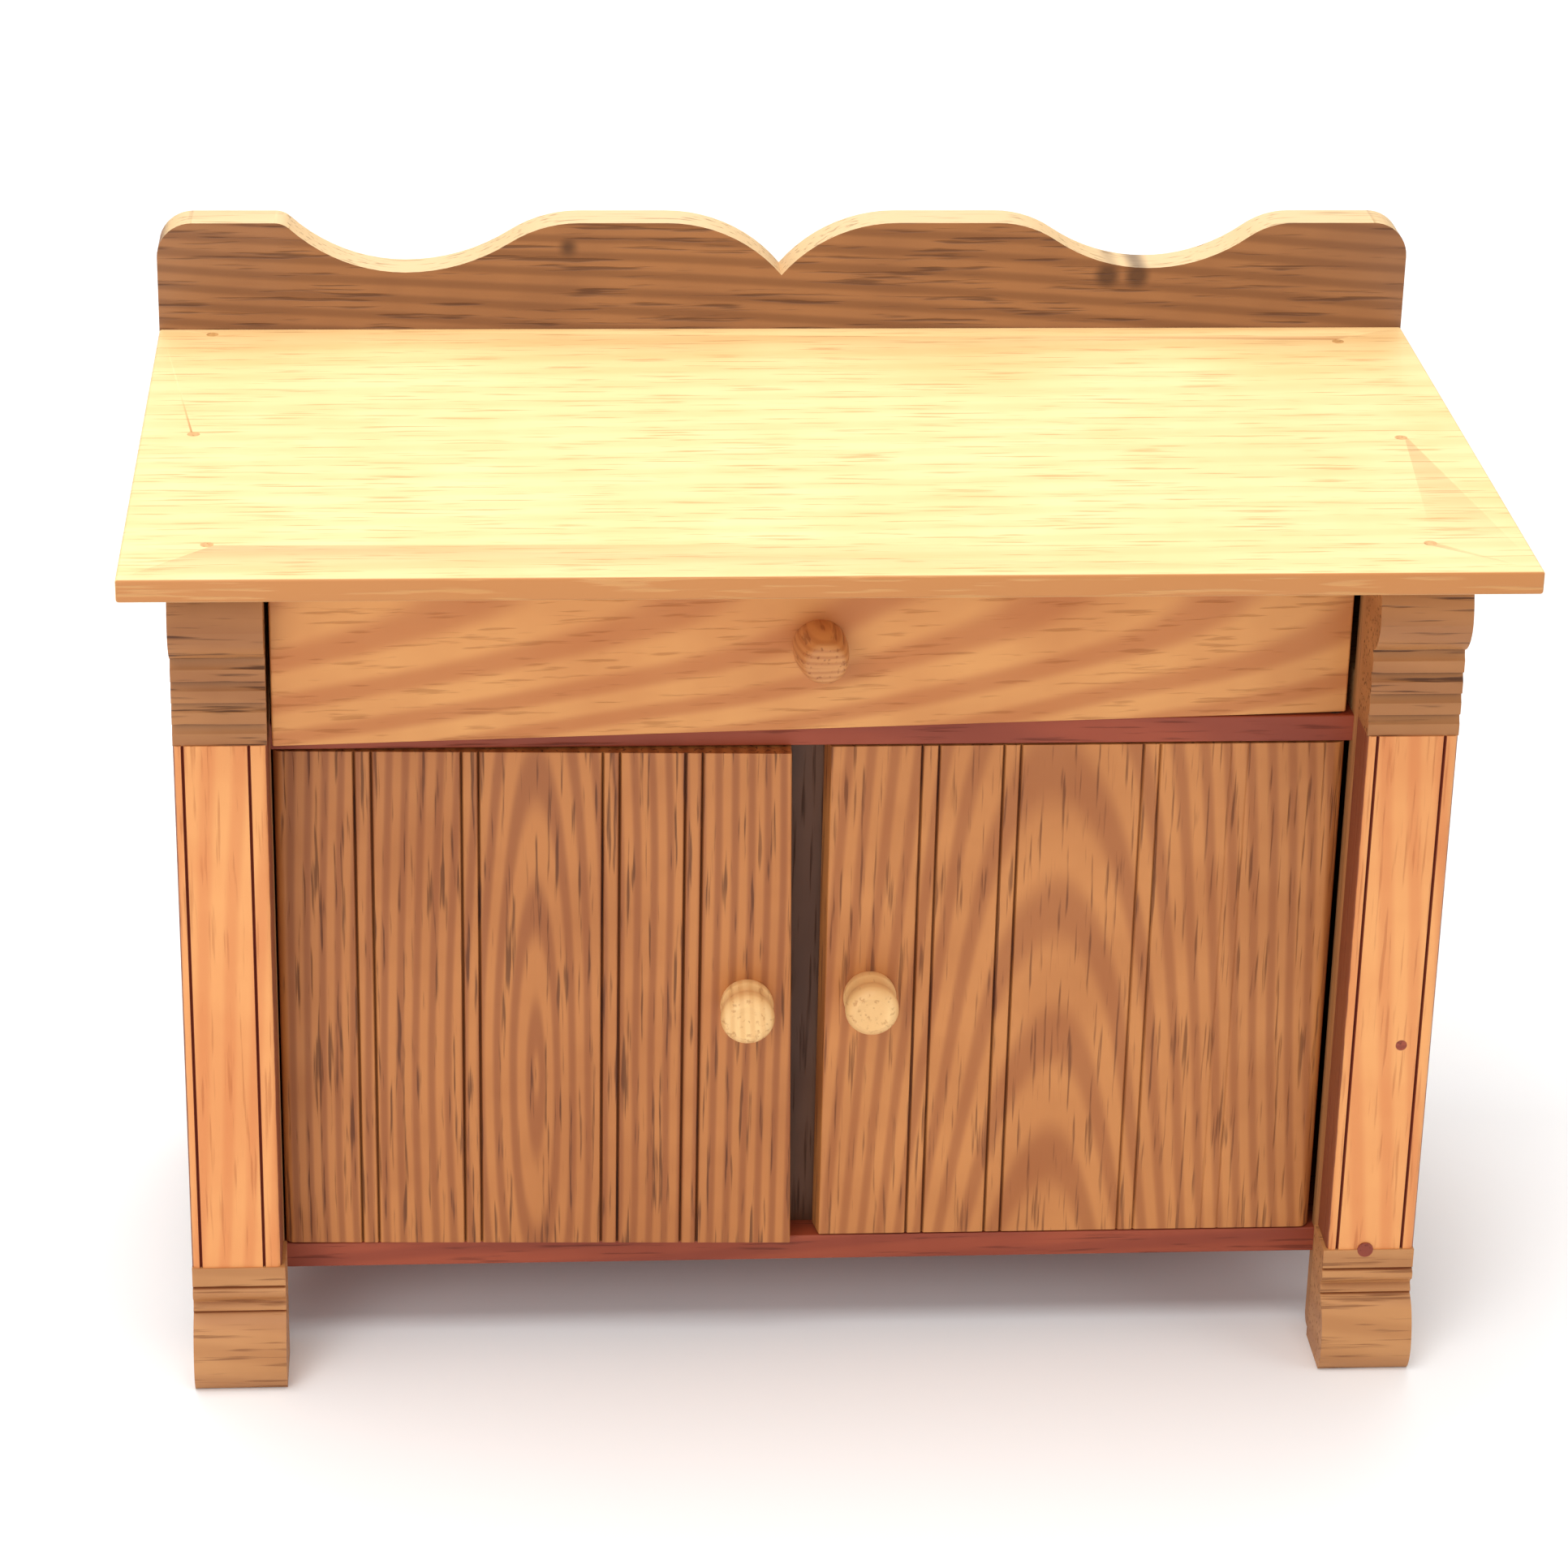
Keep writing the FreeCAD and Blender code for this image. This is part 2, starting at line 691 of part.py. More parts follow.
def make_door(side, hand, beads):
    """A board with carved beads, rounded at its hinge edge and planed at its free edge."""
    hinge_edge = side * (half_opening - size[hand + "_hinge_gap"])
    round_radius = size[hand + "_hinge_round"]
    front = shelf_face
    back = front + size["door_thick"]
    if hand == "left":
        free_back = -size["left_meet_low"]
        free_front = free_back
    else:
        free_back = size["right_meet"]
        free_front = free_back + size["right_meet_bevel"]
    corners = [(hinge_edge, back), (hinge_edge, front + round_radius)]
    corners.append((hinge_edge - side * round_radius, front, -side * round_radius))
    corners += bead_corners(beads, hinge_edge, side * (hinge_edge - free_back), side, front)
    corners += [(free_front, front), (free_back, back)]
    low = shelf_top + size["door_clearance"]
    height = size["cupboard_height"] - 2 * size["door_clearance"]
    name = "door_" + hand
    body = padded(name + "_body", "XY_Plane", low, corners, height)
    if hand == "left":
        taper_free_edge(body, name, back, low, height)

    def at_free_edge(edge):
        box = edge.BoundBox
        return abs(box.Center.x) < 12.0 and box.ZLength > 100.0

    soft = eased(name + "_eased", body, size["door_ease"], at_free_edge)
    pivot = hinge_axis(side, hand)
    radius = size["pivot_radius"] + size["pivot_clearance"]
    depth = size["pivot_depth"] + 0.5
    bores = joined(name + "_bores", [
        rod(name + "_bore_low", (pivot[0], pivot[1], low), radius, depth),
        rod(name + "_bore_high", (pivot[0], pivot[1], low + height - depth), radius, depth),
    ])
    bored = cut(name + "_bored", soft, bores)
    place = (side * size[hand + "_knob_offset"], front, shelf_top + size["knob_height"])
    knob = make_knob("door_knob_" + hand, place, door_knob_corners())
    door = cut(name + "_socketed", bored, knob)
    ajar = -size["left_door_ajar"].value if hand == "left" else 0.0
    middle = (pivot[0].value, pivot[1].value, 0.0)
    for label, piece in ((name, door), ("door_knob_" + hand, knob)):
        turn(keep(label, grouped(label + "_hung", [piece])), middle, ajar)


def door_knob_corners():
    """Half outline of a door knob: a drum with a soft waist and a rounded, slightly dished end."""
    radius = size["knob_radius"]
    length = size["knob_length"]
    tenon = size["knob_tenon_radius"]
    return [
        (0.0, size["knob_tenon_length"]),
        (0.0, -length + 0.6),
        (radius * 0.40, -length + 0.6),
        (radius * 0.66, -length),
        (radius, -length * 0.80, 4.6),
        (radius * 0.94, -length * 0.50, 9.0),
        (radius, -length * 0.22, -9.0),
        (radius * 0.97, 0.0, 9.0),
        (tenon, 0.0),
        (tenon, size["knob_tenon_length"]),
    ]


def drawer_knob_corners():
    """Half outline of the drawer knob: a barrel that tapers to a domed end."""
    radius = size["drawer_knob_radius"]
    length = size["drawer_knob_length"]
    tenon = size["knob_tenon_radius"]
    return [
        (0.0, size["knob_tenon_length"]),
        (0.0, -length),
        (radius * 0.62, -length * 0.965, 40.0),
        (radius * 0.84, -length * 0.83, 3.8),
        (radius, -length * 0.36, 42.0),
        (radius * 0.985, 0.0, 32.0),
        (tenon, 0.0),
        (tenon, size["knob_tenon_length"]),
    ]


def make_knob(label, place, corners):
    """A turned knob with its base at place and its tenon behind it."""
    knob = lathe_turned(label + "_body", corners)
    for axis, coordinate in zip("xyz", place):
        bind(knob, "Placement.Base." + axis, coordinate)
    doc.recompute()
    return knob


def make_drawer():
    """The drawer, built square and then turned to the skew that it rests at."""
    face = pilaster_face + size["drawer_setback"]
    front_back = face + size["drawer_front_thick"]
    cosine = Size(math.cos(math.radians(size["drawer_skew"].value)),
                  "cos(Sizes.drawer_skew * 1 deg)")
    sine = Size(math.sin(math.radians(size["drawer_skew"].value)),
                "sin(Sizes.drawer_skew * 1 deg)")
    middle = -size["drawer_shift"]
    # The skewed front just passes the capitals, and the skewed box just passes the guides
    # while its right rear corner meets the stop.
    reach = half_opening - size["drawer_shift"]
    front_half = (reach - size["drawer_end_clearance"] - sine * size["drawer_front_thick"]) / cosine
    across = reach - size["box_side_clearance"]
    along = back_panel_face - size["stop_depth"] - face
    squeeze = cosine * cosine - sine * sine
    box_half = (across * cosine - along * sine) / squeeze
    box_depth = (along * cosine - across * sine) / squeeze

    rear = face + box_depth
    low = divider_top + size["drawer_clearance"]
    wall = size["box_wall"]
    groove = size["box_groove"]
    floor_low = low + size["box_floor_rise"]
    box_high = low + size["box_height"]
    floor = block("drawer_floor",
                  (middle - box_half + wall - groove, front_back - groove, floor_low),
                  (middle + box_half - wall + groove, rear - wall + groove,
                   floor_low + size["box_floor"]))
    knob = make_knob("drawer_knob", (middle, face, divider_top + size["drawer_knob_height"]),
                     drawer_knob_corners())
    front = block("drawer_front_blank", (middle - front_half, face, low),
                  (middle + front_half, front_back, top_low - size["drawer_top_clearance"]))
    front = eased("drawer_front_eased", front, size["door_ease"])
    front = cut("drawer_front_grooved", front, floor)
    pieces = {
        "drawer_front": cut("drawer_front_bored", front, knob),
        "drawer_knob": knob,
        "drawer_bottom": floor,
    }
    for side, hand in ((-1, "left"), (1, "right")):
        ends = both(side, box_half - wall, box_half)
        board = block("drawer_side_blank_" + hand, (middle + ends[0], front_back, low),
                      (middle + ends[1], rear, box_high))
        pieces["drawer_side_" + hand] = cut("drawer_side_grooved_" + hand, board, floor)
    board = block("drawer_back_blank", (middle - box_half + wall, rear - wall, low),
                  (middle + box_half - wall, rear, box_high))
    pieces["drawer_back"] = cut("drawer_back_grooved", board, floor)
    pivot = (middle.value, face.value, 0.0)
    for label, piece in pieces.items():
        turn(keep(label, grouped(label + "_skewed", [piece])), pivot, size["drawer_skew"].value)

    corner = middle + box_half * cosine - box_depth * sine
    half_stop = size["stop_length"] / 2.0
    stops = []
    for side in (-1, 1):
        stops.append(block("drawer_stop_%d" % (side + 1),
                           (side * corner - half_stop, back_panel_face - size["stop_depth"],
                            divider_top),
                           (side * corner + half_stop, back_panel_face,
                            divider_top + size["stop_height"])))
    keep("drawer_stops", grouped("drawer_stop_pair", stops))


def make_rear_nails(label, heights, pitch, radius, face, length):
    """Rows of four nails driven in from the back, with their heads flush with the face."""
    nails = []
    for z in heights:
        for step in (-1.5, -0.5, 0.5, 1.5):
            number = len(nails)
            nail = level_rod("%s_%d" % (label, number), (step * pitch, face - length, z),
                             radius, length)
            nails.append(nail)
    return keep(label, grouped(label + "_set", nails))


def make_back():
    panel = block("back_blank", (-half_opening, back_panel_face, size["floor_gap"]),
                  (half_opening, rear_face - size["back_inset"], top_low))
    keep("back_panel", cut("back_nailed", panel, nodes["back_panel_nails"]))


make_nails()
make_plugs()
make_rear_nails("back_panel_nails",
                (size["floor_gap"] + size["shelf_thick"] / 2.0,
                 divider_low + size["shelf_thick"] / 2.0),
                size["panel_nail_pitch"], size["panel_nail_radius"],
                rear_face - size["back_inset"], size["panel_nail_length"])
make_rear_nails("backsplash_nails", (top_low + size["top_thick"] / 2.0,),
                size["splash_nail_pitch"], size["splash_nail_radius"],
                rear_face + size["splash_thick"], size["splash_nail_length"])
make_top()
make_backsplash()
make_back()
for side, hand in ((-1, "left"), (1, "right")):
    axis = hinge_axis(side, hand)
    make_pivots("door_pivots_" + hand, axis[0], axis[1])
    make_sides(side, hand)
    make_pilaster(side, hand)
    make_capital(side, hand)
    make_foot(side, hand)
make_shelf("bottom_shelf", size["floor_gap"])
make_shelf("divider_shelf", divider_low)
mullion_face = pilaster_face + size["mullion_setback"]
keep("center_mullion", block("mullion", (-size["mullion_width"] / 2.0, mullion_face, shelf_top),
                             (size["mullion_width"] / 2.0, mullion_face + size["mullion_thick"],
                              divider_low)))
make_door(-1, "left", LEFT_BEADS)
make_door(1, "right", RIGHT_BEADS)
make_drawer()

doc.recompute()
for item in doc.Objects:
    if "Invalid" in item.State or "Error" in item.State:
        raise RuntimeError("%s failed: %s" % (item.Label, item.State))
os.makedirs("parts", exist_ok=True)
for label, piece in nodes.items():
    if piece.Shape.isNull() or not piece.Shape.isValid() or not piece.Shape.Solids:
        raise RuntimeError(label + " has no valid shape")
for label, piece in nodes.items():
    piece.Shape.exportStep("parts/%s.step" % label)
    box = piece.Shape.BoundBox
    print("%-20s %d solid(s) x %.1f..%.1f y %.1f..%.1f z %.1f..%.1f" % (
        label, len(piece.Shape.Solids), box.XMin, box.XMax, box.YMin, box.YMax, box.ZMin, box.ZMax))
print(len(nodes), "nodes written")
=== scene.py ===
import math
import bmesh
import bpy
import numpy as np
from mathutils import Matrix


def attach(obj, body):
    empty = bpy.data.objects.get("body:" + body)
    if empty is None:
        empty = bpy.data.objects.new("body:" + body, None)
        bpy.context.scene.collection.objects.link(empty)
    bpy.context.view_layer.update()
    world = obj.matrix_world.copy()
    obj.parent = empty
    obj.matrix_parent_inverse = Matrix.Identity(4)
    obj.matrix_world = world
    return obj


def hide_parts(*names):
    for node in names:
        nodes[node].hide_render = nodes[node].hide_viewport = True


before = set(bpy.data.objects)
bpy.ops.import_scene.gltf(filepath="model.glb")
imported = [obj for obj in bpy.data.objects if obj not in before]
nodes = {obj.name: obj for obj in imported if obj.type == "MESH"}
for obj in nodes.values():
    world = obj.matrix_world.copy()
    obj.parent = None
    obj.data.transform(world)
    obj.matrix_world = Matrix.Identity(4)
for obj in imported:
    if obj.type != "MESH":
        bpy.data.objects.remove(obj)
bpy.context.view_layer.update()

millimetre = 0.001


# A shader socket that adds, multiplies and compares like a number.
class Wire:
    def __init__(self, tree, socket):
        self.tree = tree
        self.socket = socket

    def node(self, kind, settings, values, out=0):
        made = self.tree.nodes.new(kind)
        for name, value in settings.items():
            setattr(made, name, value)
        for name, value in values.items():
            if isinstance(value, Wire):
                self.tree.links.new(value.socket, made.inputs[name])
            else:
                made.inputs[name].default_value = value
        return Wire(self.tree, made.outputs[out])

    def maths(self, operation, first, second=0.0):
        return self.node("ShaderNodeMath", {"operation": operation}, {0: first, 1: second})

    def __add__(self, other):
        return self.maths("ADD", self, other)

    def __radd__(self, other):
        return self.maths("ADD", other, self)

    def __sub__(self, other):
        return self.maths("SUBTRACT", self, other)

    def __rsub__(self, other):
        return self.maths("SUBTRACT", other, self)

    def __mul__(self, other):
        return self.maths("MULTIPLY", self, other)

    def __rmul__(self, other):
        return self.maths("MULTIPLY", other, self)

    def root(self):
        return self.maths("SQRT", self)

    def sine(self):
        return self.maths("SINE", self)

    def size(self):
        return self.maths("ABSOLUTE", self)

    # 0 below low, 1 above high, smooth between
    def step(self, low, high):
        values = {"Value": self, "From Min": low, "From Max": high}
        return self.node("ShaderNodeMapRange", {"interpolation_type": "SMOOTHSTEP"}, values)

    # the colour low where this is 0 and high where it is 1
    def blend(self, low, high):
        return self.node("ShaderNodeMix", {"data_type": "RGBA"}, {0: self, 6: low, 7: high}, 2)

    def split(self):
        return [self.node("ShaderNodeSeparateXYZ", {}, {0: self}, out) for out in range(3)]

    def stretched(self, factors):
        return self.node("ShaderNodeVectorMath", {"operation": "MULTIPLY"}, {0: self, 1: factors})

    def noise(self, scale, detail=3.0):
        return self.node("ShaderNodeTexNoise", {}, {"Vector": self, "Scale": scale, "Detail": detail})


screenPower = 2.2


# A colour as it looks on a screen, 0 to 1, turned into light.
def colour(red, green, blue):
    return tuple(value ** screenPower for value in (red, green, blue)) + (1.0,)


# Each wood's looks. along and across are axes (0 x, 1 y, 2 z): the grain runs along, and the growth
# lines are counted across. heart is the tree's centre: its place across, its depth, and its tilt,
# which makes arches. rings and pores say how strongly each shows.
# The edge, flank and crease colours are painted light and shade, not the wood's own colour.
woods = {
    "top": {
        "along": 0, "across": 1, "heart": (0.35, 0.30, 0.05), "spacing": 0.011, "rings": 0.30,
        "pale": (0.95, 0.80, 0.56), "dark": (0.88, 0.68, 0.42), "pore": (0.72, 0.50, 0.28), "pores": 0.55,
        # edge colour: the top board's front faces painted darker, painted shade
        "edge": {"axis": 1, "sign": -1.0, "colour": (0.72, 0.46, 0.24)},
    },
    "splash": {
        "along": 0, "across": 2, "heart": (0.15, 0.12, 0.10), "spacing": 0.006, "rings": 0.60,
        "pale": (0.60, 0.41, 0.26), "dark": (0.43, 0.27, 0.16), "pore": (0.25, 0.14, 0.08), "pores": 0.60,
        # edge colour: the backsplash's upward faces painted paler, painted light
        "edge": {"axis": 2, "sign": 1.0, "colour": (0.86, 0.72, 0.52)},
        "knots": ((-0.080, 0.352), (0.118, 0.341), (0.129, 0.341)),
    },
    "pine": {
        "along": 0, "across": 2, "heart": (0.30, 0.10, 0.09), "spacing": 0.0062, "rings": 0.62,
        "pale": (0.85, 0.60, 0.35), "dark": (0.68, 0.38, 0.19), "pore": (0.52, 0.30, 0.16), "pores": 0.35,
    },
    "capital": {
        "along": 0, "across": 2, "heart": (0.20, 0.15, 0.05), "spacing": 0.009, "rings": 0.35,
        "pale": (0.68, 0.46, 0.27), "dark": (0.52, 0.31, 0.16), "pore": (0.24, 0.12, 0.06), "pores": 0.80,
        # crease colour: painted shade in the grooves
        "creaseShade": (0.22, 0.09, 0.05),
    },
    "foot": {
        "along": 0, "across": 2, "heart": (-0.05, 0.10, 0.08), "spacing": 0.007, "rings": 0.35,
        "pale": (0.74, 0.52, 0.32), "dark": (0.60, 0.38, 0.21), "pore": (0.38, 0.20, 0.10), "pores": 0.55,
        # crease colour: painted shade in the grooves
        "creaseShade": (0.50, 0.22, 0.08),
    },
    "pilaster": {
        "along": 2, "across": 0, "heart": (0.0, 0.25, 0.05), "spacing": 0.006, "rings": 0.40,
        "pale": (0.90, 0.62, 0.37), "dark": (0.78, 0.42, 0.22), "pore": (0.55, 0.24, 0.13), "pores": 0.30,
        # crease and flank colours: painted shade in the grooves and on the side faces
        "creaseShade": (0.42, 0.10, 0.06), "flankShade": (0.40, 0.15, 0.10),
    },
    "leftDoor": {
        "along": 2, "across": 0, "heart": (-0.095, 0.012, -0.11), "spacing": 0.0055, "rings": 0.65,
        "pale": (0.74, 0.47, 0.25), "dark": (0.52, 0.27, 0.12), "pore": (0.26, 0.12, 0.06), "pores": 0.70,
        # crease colour: painted shade in the grooves
        "creaseShade": (0.24, 0.10, 0.05),
    },
    "rightDoor": {
        "along": 2, "across": 0, "heart": (0.085, 0.036, 0.11), "spacing": 0.0055, "rings": 0.60,
        "pale": (0.78, 0.51, 0.28), "dark": (0.56, 0.30, 0.14), "pore": (0.30, 0.14, 0.07), "pores": 0.60,
        # crease colour: painted shade in the grooves
        "creaseShade": (0.28, 0.12, 0.06),
    },
    "redShelf": {
        "along": 0, "across": 2, "heart": (0.20, 0.20, 0.05), "spacing": 0.006, "rings": 0.40,
        "pale": (0.60, 0.27, 0.16), "dark": (0.45, 0.17, 0.10), "pore": (0.25, 0.09, 0.06), "pores": 0.45,
    },
    "mullion": {
        "along": 2, "across": 0, "heart": (0.03, 0.10, 0.05), "spacing": 0.005, "rings": 0.45,
        "pale": (0.42, 0.27, 0.17), "dark": (0.30, 0.18, 0.11), "pore": (0.16, 0.08, 0.05), "pores": 0.55,
    },
    "post": {
        "along": 2, "across": 1, "heart": (0.20, 0.20, 0.05), "spacing": 0.007, "rings": 0.40,
        "pale": (0.72, 0.50, 0.31), "dark": (0.58, 0.37, 0.21), "pore": (0.36, 0.20, 0.11), "pores": 0.45,
    },
    "knob": {
        "along": 1, "across": 2, "heart": (0.272, 0.0, 0.0), "spacing": 0.0021, "rings": 0.45,
        "pale": (0.80, 0.56, 0.34), "dark": (0.62, 0.35, 0.18), "pore": (0.42, 0.18, 0.10), "pores": 0.45,
    },
    "birch": {
        "along": 1, "across": 0, "heart": (0.02, 0.05, 0.0), "spacing": 0.0024, "rings": 0.40,
        "pale": (0.93, 0.76, 0.52), "dark": (0.82, 0.60, 0.36), "pore": (0.60, 0.38, 0.20), "pores": 0.40,
    },
    "plain": {
        "along": 0, "across": 2, "heart": (0.20, 0.20, 0.06), "spacing": 0.008, "rings": 0.40,
        "pale": (0.80, 0.64, 0.44), "dark": (0.68, 0.50, 0.31), "pore": (0.48, 0.32, 0.18), "pores": 0.40,
    },
    "filler": {
        "along": 2, "across": 0, "heart": (0.10, 0.10, 0.0), "spacing": 0.002, "rings": 0.30,
        "pale": (0.82, 0.62, 0.38), "dark": (0.70, 0.50, 0.28), "pore": (0.50, 0.32, 0.18), "pores": 0.40,
    },
    "plug": {
        "along": 1, "across": 2, "heart": (0.05, 0.10, 0.0), "spacing": 0.0015, "rings": 0.40,
        "pale": (0.58, 0.26, 0.17), "dark": (0.42, 0.15, 0.10), "pore": (0.25, 0.08, 0.05), "pores": 0.50,
    },
}
warpScale = 9.0          # waves of the growth lines, per metre
warpStretch = 0.35       # waves along the grain, as a share of that
warpAmount = 0.012       # how far they stray, metres
poreScale = 620.0        # pores per metre across the grain
poreStretch = 0.05       # pores per metre along it, as a share of that
patchScale = 22.0        # darker patches per metre
raggedScale = 120.0      # ragged edge of the painted shade on the flanks, per metre
raggedAmount = 0.2
knotRadius = 6.5 * millimetre
knotCore = 0.3           # the darkest part of a knot, as a share of its radius
# how far the painted shade in creases looks for cover
creaseShadeReach = 5.0 * millimetre
bumpHeight = 0.25 * millimetre
rustScale = 700.0
# where each layer starts to show and where it shows in full
shows = {
    "rings": (0.15, 1.0), "pores": (0.56, 0.70), "patches": (0.30, 0.75), "edge": (0.4, 0.8),
    "flankShade": (0.75, 0.95), "open": (0.25, 0.92), "rust": (0.45, 0.62),
}
# how far each layer covers what lies under it
covers = {"patches": 0.35, "edge": 0.95, "poresOnEdge": 0.4, "flankShade": 0.85, "knot": 0.8,
          "creaseShade": 0.75, "poresInCrease": 0.2}
# roughness of plain wood and what pores and patches add to it
roughening = {"wood": 0.48, "pores": 0.22, "patches": 0.10}
# heights as shares of bumpHeight: growth lines and fine grain stand up, pores are sunk
relief = {"rings": 0.15, "fine": 0.35, "pores": 0.8}


# Wood: growth lines are the sine of the distance from the tilted heart, strayed by noise. Pores are the
# peaks of a noise drawn out along the grain. Patches, then faces turned one way in a colour of their own
# (painted shade on the top board's front, painted light on the backsplash's top), painted shade on the
# pilasters' flanks, knots and painted shade in creases lie over them. Pores are rougher and sunk.
def wood(name):
    look = woods[name]
    material = bpy.data.materials.new(name)
    material.use_nodes = True
    tree = material.node_tree
    shader = tree.nodes["Principled BSDF"]
    coordinates = tree.nodes.new("ShaderNodeTexCoord")
    place = Wire(tree, coordinates.outputs["Object"])
    facing = Wire(tree, coordinates.outputs["Normal"]).split()
    axes = place.split()
    factors = [1.0, 1.0, 1.0]
    factors[look["along"]] = poreStretch
    warpFactors = [1.0, 1.0, 1.0]
    warpFactors[look["along"]] = warpStretch
    centre, depth, tilt = look["heart"]
    stray = (place.stretched(warpFactors).noise(warpScale, 2.0) - 0.5) * warpAmount
    sideways = axes[look["across"]] - centre
    inward = axes[look["along"]] * tilt + depth
    distance = (sideways * sideways + inward * inward).root() + stray
    rings = ((distance * (2.0 * math.pi / look["spacing"])).sine() * 0.5 + 0.5).step(*shows["rings"])
    fine = place.stretched(factors).noise(poreScale, 2.0)
    pores = fine.step(*shows["pores"])
    patches = place.noise(patchScale, 3.0).step(*shows["patches"])
    pale = colour(*look["pale"])
    dark = colour(*look["dark"])
    pore = colour(*look["pore"])
    paint = (rings * look["rings"]).blend(pale, dark)
    paint = (patches * covers["patches"]).blend(paint, dark)
    paint = (pores * look["pores"]).blend(paint, pore)
    # Faces turned one way take the edge colour: painted shade on the top board's front faces, painted
    # light on the backsplash's upward faces.
    if "edge" in look:
        edge = look["edge"]
        onPaintedSide = (facing[edge["axis"]] * edge["sign"]).step(*shows["edge"])
        cover = covers["edge"] - pores * covers["poresOnEdge"]
        paint = (onPaintedSide * cover).blend(paint, colour(*edge["colour"]))
    # Painted shade on the side faces (x), with a ragged boundary.
    if "flankShade" in look:
        onShadedFlank = (facing[0].size() + place.noise(raggedScale) * raggedAmount).step(*shows["flankShade"])
        paint = (onShadedFlank * covers["flankShade"]).blend(paint, colour(*look["flankShade"]))
    for knotX, knotZ in look.get("knots", ()):
        aside = axes[0] - knotX
        above = axes[2] - knotZ
        fromKnot = (aside * aside + above * above).root()
        knot = 1.0 - (fromKnot + stray).step(knotRadius * knotCore, knotRadius)
        paint = (knot * covers["knot"]).blend(paint, pore)
    # Painted shade: darker where ambient occlusion finds creases and grooves.
    if "creaseShade" in look:
        values = {"Distance": creaseShadeReach}
        uncovered = place.node("ShaderNodeAmbientOcclusion", {"samples": 8, "only_local": True}, values, 1)
        shadedInCrease = 1.0 - uncovered.step(*shows["open"])
        cover = covers["creaseShade"] + pores * covers["poresInCrease"]
        paint = (shadedInCrease * cover).blend(paint, colour(*look["creaseShade"]))
    roughness = roughening["wood"] + pores * roughening["pores"] + patches * roughening["patches"]
    height = rings * relief["rings"] + fine * relief["fine"] - pores * relief["pores"]
    bump = place.node("ShaderNodeBump", {}, {"Strength": 0.6, "Distance": bumpHeight, "Height": height})
    tree.links.new(paint.socket, shader.inputs["Base Color"])
    tree.links.new(roughness.socket, shader.inputs["Roughness"])
    tree.links.new(bump.socket, shader.inputs["Normal"])
    return material


# Nail steel: grey metal, with brown rust where a noise is high. The rust is rougher, raised and not metal.
def steel():
    material = bpy.data.materials.new("nailSteel")
    material.use_nodes = True
    tree = material.node_tree
    shader = tree.nodes["Principled BSDF"]
    place = Wire(tree, tree.nodes.new("ShaderNodeTexCoord").outputs["Object"])
    rust = place.noise(rustScale, 4.0).step(*shows["rust"])
    paint = rust.blend(colour(0.58, 0.57, 0.55), colour(0.38, 0.25, 0.17))
    roughness = rust * 0.4 + 0.35
    metal = 1.0 - rust
    bump = place.node("ShaderNodeBump", {}, {"Strength": 0.4, "Distance": bumpHeight, "Height": rust})
    tree.links.new(paint.socket, shader.inputs["Base Color"])
    tree.links.new(roughness.socket, shader.inputs["Roughness"])
    tree.links.new(metal.socket, shader.inputs["Metallic"])
    tree.links.new(bump.socket, shader.inputs["Normal"])
    return material


print("materials")
materials = {name: wood(name) for name in woods}
materials["steel"] = steel()
# The first of these words that a node's name holds gives its material.
finishes = (
    ("top_nails", "filler"), ("plugs", "plug"), ("nails", "steel"), ("pivots", "steel"),
    ("top_board", "top"), ("backsplash", "splash"), ("capital", "capital"), ("foot", "foot"),
    ("pilaster", "pilaster"), ("drawer_knob", "knob"), ("door_knob", "birch"), ("door_left", "leftDoor"),
    ("door_right", "rightDoor"), ("drawer_front", "pine"), ("shelf", "redShelf"), ("mullion", "mullion"),
    ("post", "post"), ("side_panel", "post"), ("", "plain"),
)


def finishOf(node):
    return materials[next(finish for word, finish in finishes if word in node)]


for node, piece in nodes.items():
    piece.data.materials.clear()
    piece.data.materials.append(finishOf(node))

# Boards whose edges are rounded over by hand: a merged copy of the part, bevelled on its sharp edges.
easedBoards = {
    "top_board": {"piece": "top_board_eased", "slot": "top_wood", "width": 1.1 * millimetre},
    "backsplash": {"piece": "backsplash_eased", "slot": "splash_wood", "width": 1.3 * millimetre},
}
sharpAngle = 0.5                   # radians
flatAngle = 0.01                   # faces that meet at less become one
weldDistance = 0.01 * millimetre
shortestEdge = 2.5 * millimetre    # the nail holes' rims have shorter edges and stay crisp


def easeBoard(node, board):
    mesh = bpy.data.meshes.new(board["piece"])
    form = bmesh.new()
    form.from_mesh(nodes[node].data)
    bmesh.ops.remove_doubles(form, verts=form.verts, dist=weldDistance)
    bmesh.ops.dissolve_limit(form, angle_limit=flatAngle, verts=form.verts, edges=form.edges)
    weight = form.edges.layers.float.new("bevel_weight_edge")
    for edge in form.edges:
        sharp = len(edge.link_faces) == 2 and edge.calc_face_angle() > sharpAngle
        edge[weight] = float(sharp and edge.calc_length() > shortestEdge)
    form.to_mesh(mesh)
    form.free()
    mesh.set_sharp_from_angle(angle=sharpAngle)
    mesh.materials.append(finishOf(node))
    piece = bpy.data.objects.new(board["piece"], mesh)
    bpy.context.scene.collection.objects.link(piece)
    bevel = piece.modifiers.new("eased", "BEVEL")
    bevel.width = board["width"]
    bevel.segments = 3
    bevel.harden_normals = True
    bevel.limit_method = "WEIGHT"
    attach(piece, "cabinet")
    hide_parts(node)


print("eased boards")
for node, board in easedBoards.items():
    easeBoard(node, board)

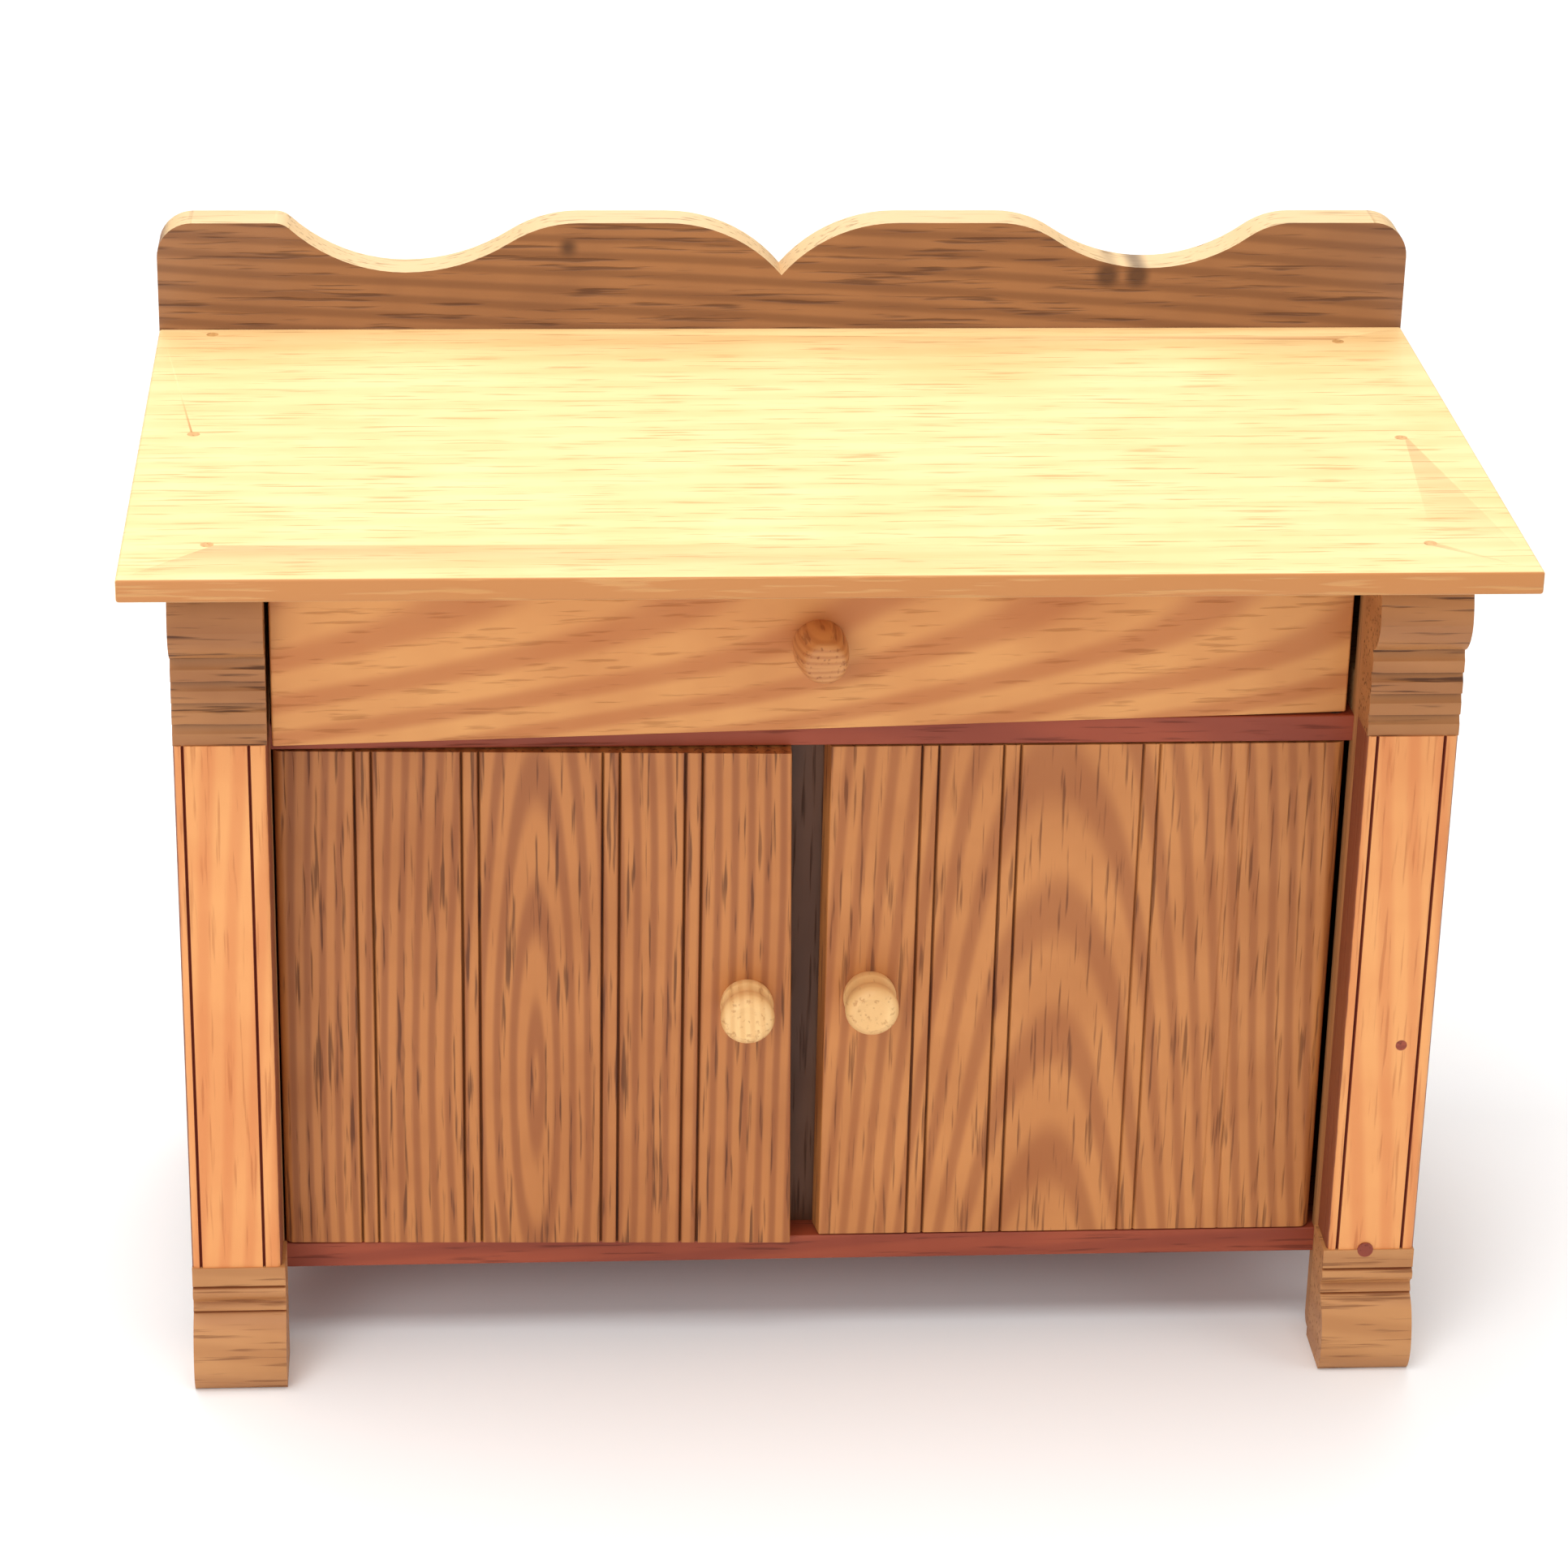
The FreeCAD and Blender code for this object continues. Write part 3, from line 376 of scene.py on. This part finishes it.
print("floor, lights and camera")
floorHalf = 8.0
floorLevel = -0.2 * millimetre     # just under the feet
corners = [(-1, -1), (1, -1), (1, 1), (-1, 1)]
floorMesh = bpy.data.meshes.new("floor")
floorMesh.from_pydata([(x * floorHalf, y * floorHalf, floorLevel) for x, y in corners], [], [(0, 1, 2, 3)])
floorPaint = bpy.data.materials.new("floor")
floorPaint.use_nodes = True
floorShader = floorPaint.node_tree.nodes["Principled BSDF"]
floorShader.inputs["Base Color"].default_value = (0.9, 0.9, 0.9, 1.0)
floorShader.inputs["Roughness"].default_value = 1.0
floorMesh.materials.append(floorPaint)
floor = bpy.data.objects.new("floor", floorMesh)
bpy.context.scene.collection.objects.link(floor)

# The sky is white to the camera and softer as a lamp: its strength is ambient, plus one minus ambient
# where the camera sees it.
ambient = 0.42
world = bpy.data.worlds.new("studio")
world.use_nodes = True
bpy.context.scene.world = world
sky = world.node_tree.nodes["Background"]
sky.inputs["Color"].default_value = (1.0, 1.0, 1.0, 1.0)
seen = Wire(world.node_tree, world.node_tree.nodes.new("ShaderNodeLightPath").outputs["Is Camera Ray"])
strength = seen * (1.0 - ambient) + ambient
world.node_tree.links.new(strength.socket, sky.inputs["Strength"])


sideGuide = (0.0, 1.0, 0.001)      # a direction that no lamp looks along


# A square lamp at a place, turned to look at a target.
def lamp(name, place, target, width, power):
    light = bpy.data.lights.new(name, "AREA")
    light.size = width
    light.energy = power
    shown = bpy.data.objects.new(name, light)
    bpy.context.scene.collection.objects.link(shown)
    away = np.array(place) - np.array(target)
    away = away / np.linalg.norm(away)
    right = np.cross(sideGuide, away)
    right = right / np.linalg.norm(right)
    up = np.cross(away, right)
    turned = Matrix((right, up, away)).transposed().to_4x4()
    shown.matrix_world = Matrix.Translation(place) @ turned


middle = (0.0, 0.0, 0.2)
lamps = {
    "overhead": {"place": (-0.3, -0.4, 2.0), "target": middle, "width": 1.6, "power": 34.0},
    "front": {"place": (-1.2, -2.2, 1.1), "target": middle, "width": 1.4, "power": 22.0},
    "right": {"place": (2.0, -1.2, 1.0), "target": middle, "width": 1.2, "power": 9.0},
    "backdrop": {"place": (0.0, 2.6, 2.4), "target": (0.0, 2.4, 0.0), "width": 3.0, "power": 70.0},
}
for name, settings in lamps.items():
    lamp(name, **settings)

cameraPlace = (-0.11837, -1.47875, 0.85691)
yaw = 0.07603
pitch = -0.42299
roll = 0.02231
forward = np.array((math.sin(yaw) * math.cos(pitch), math.cos(yaw) * math.cos(pitch), math.sin(pitch)))
level = np.array((math.cos(yaw), -math.sin(yaw), 0.0))
upright = np.cross(level, forward)
right = level * math.cos(roll) + upright * math.sin(roll)
up = upright * math.cos(roll) - level * math.sin(roll)
camera = bpy.data.cameras.new("camera")
camera.lens = 104.87
camera.sensor_width = 36.0
viewer = bpy.data.objects.new("camera", camera)
bpy.context.scene.collection.objects.link(viewer)
cameraTurn = Matrix((right, up, -forward)).transposed().to_4x4()
viewer.matrix_world = Matrix.Translation(cameraPlace) @ cameraTurn
bpy.context.scene.camera = viewer
bpy.context.scene.view_settings.view_transform = "Standard"
